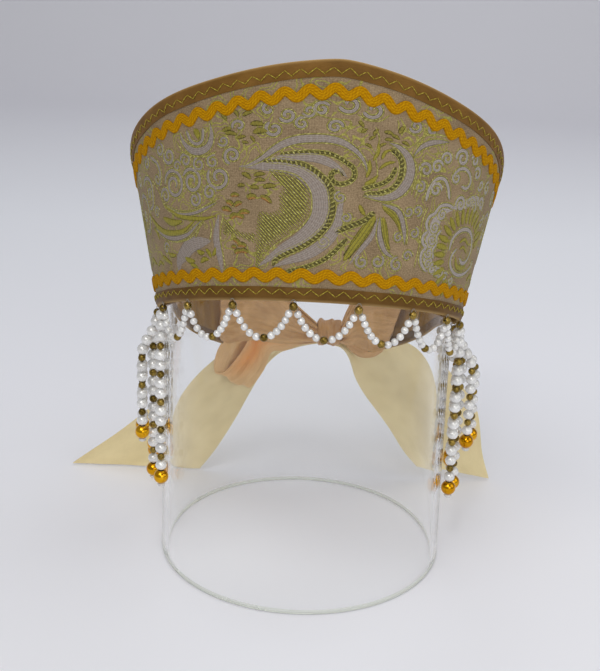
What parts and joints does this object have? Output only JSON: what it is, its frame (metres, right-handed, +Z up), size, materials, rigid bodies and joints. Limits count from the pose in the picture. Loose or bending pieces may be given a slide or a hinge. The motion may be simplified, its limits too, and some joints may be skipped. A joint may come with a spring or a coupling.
{
  "type": "kokoshnik headdress on glass display cylinder",
  "caption": "Flared brocade headdress band with bound edges, rickrack, pearl swags and hanging side strands, tied behind with a satin bow, resting on an upturned clear glass cylinder.",
  "frame": {"origin": "on the floor, under the middle of the whole object's box; the glass cylinder's axis stands at x = 14.0 mm, y = -6.9 mm", "axes": "+Z up along the glass cylinder's axis, the front of the headdress faces -Y, the wearer's left side is +X"},
  "size_m": [0.2724, 0.193, 0.2857],
  "materials": {
    "clear_glass": "clear, polished",
    "brocade": "woven paisley brocade with metallic threads",
    "satin_binding": "satin bias binding with zigzag stitching",
    "yellow_rickrack": "matte woven braid",
    "pearl": "pearl lustre, with bronze spacers and gold end balls",
    "bronze": "antique gold lustre",
    "cream_ribbon": "soft satin"
  },
  "bodies": {
    "root": {"bottom_binding": "satin_binding", "bow_knot": "cream_ribbon", "bow_loop_left": "cream_ribbon", "bow_loop_right": "cream_ribbon", "crown_band": "brocade", "edge_bead_1": "bronze", "edge_bead_2": "bronze", "edge_bead_3": "bronze", "edge_bead_4": "bronze", "edge_bead_5": "bronze", "edge_bead_6": "bronze", "edge_bead_7": "bronze", "edge_bead_8": "bronze", "glass_cylinder": "clear_glass", "lower_rickrack": "yellow_rickrack", "pearl_swag_1": "pearl", "pearl_swag_2": "pearl", "pearl_swag_3": "pearl", "pearl_swag_4": "pearl", "pearl_swag_5": "pearl", "pearl_swag_6": "pearl", "pearl_swag_7": "pearl", "pendant_bead_left_1": "bronze", "pendant_bead_left_2": "bronze", "pendant_bead_left_3": "bronze", "pendant_bead_right_1": "bronze", "pendant_bead_right_2": "bronze", "pendant_bead_right_3": "bronze", "ribbon_tail_left": "cream_ribbon", "ribbon_tail_right": "cream_ribbon", "ribbon_tie_left": "cream_ribbon", "ribbon_tie_right": "cream_ribbon", "strand_left_long_front": "pearl", "strand_left_long_rear": "pearl", "strand_left_middle_front": "pearl", "strand_left_middle_rear": "pearl", "strand_left_short_front": "pearl", "strand_left_short_rear": "pearl", "strand_right_long_front": "pearl", "strand_right_long_rear": "pearl", "strand_right_middle_front": "pearl", "strand_right_middle_rear": "pearl", "strand_right_short_front": "pearl", "strand_right_short_rear": "pearl", "top_binding": "satin_binding", "upper_rickrack": "yellow_rickrack"}
  },
  "joints": []
}
